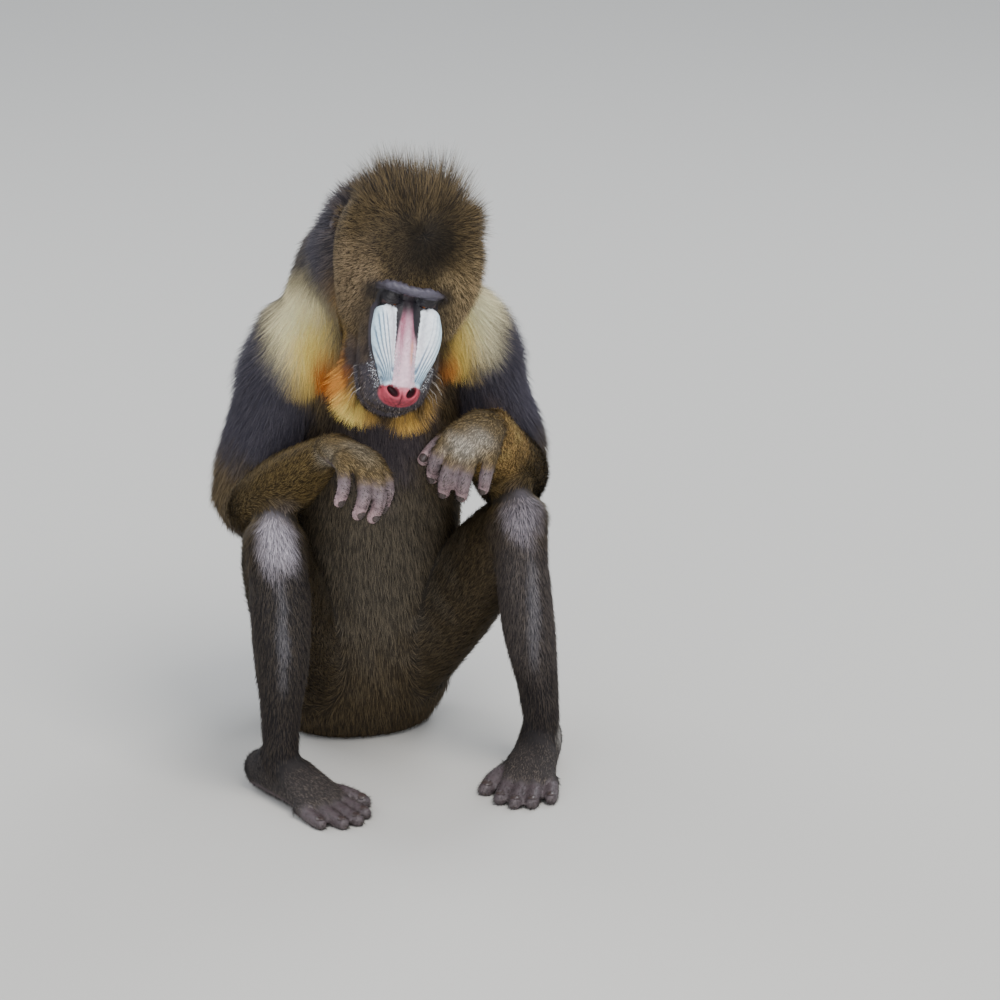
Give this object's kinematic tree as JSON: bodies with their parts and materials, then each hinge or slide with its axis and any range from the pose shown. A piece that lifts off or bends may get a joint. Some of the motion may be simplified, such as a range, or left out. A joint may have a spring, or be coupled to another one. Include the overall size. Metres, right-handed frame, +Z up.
{
  "type": "mandrill",
  "caption": "Life-size still model of an adult male mandrill, sitting upright with bowed head, knees raised and both hands held out in front of the chest.",
  "frame": {"origin": "on the floor, at the middle of the flat under the rump", "axes": "+Z up, -Y the way the chest and knees face, +X the animal's left side"},
  "size_m": [0.3784, 0.4589, 0.7384],
  "materials": {
    "olive_fur": "short to medium grizzled fur, matt",
    "slate_fur": "long soft fur, slightly glossy",
    "mantle_fur": "long pale fur in loose locks, matt",
    "beard_fur": "long golden fur in loose locks, matt",
    "face_skin": "bare skin, satin",
    "hand_skin": "bare skin with thin hair, satin",
    "foot_skin": "bare skin with thin hair, satin",
    "eye": "wet gloss"
  },
  "bodies": {
    "root": {"rump": "olive_fur", "belly": "olive_fur", "chest": "mantle_fur", "neck": "olive_fur", "tail": "olive_fur", "head": "olive_fur", "muzzle": "face_skin", "jaw": "beard_fur", "ear_right": "foot_skin", "ear_left": "foot_skin", "eye_right": "eye", "eye_left": "eye", "upper_arm_right": "slate_fur", "upper_arm_left": "slate_fur", "forearm_right": "olive_fur", "forearm_left": "olive_fur", "hand_right": "hand_skin", "hand_left": "hand_skin", "thigh_right": "olive_fur", "thigh_left": "olive_fur", "shin_right": "slate_fur", "shin_left": "slate_fur", "foot_right": "foot_skin", "foot_left": "foot_skin"}
  },
  "joints": []
}
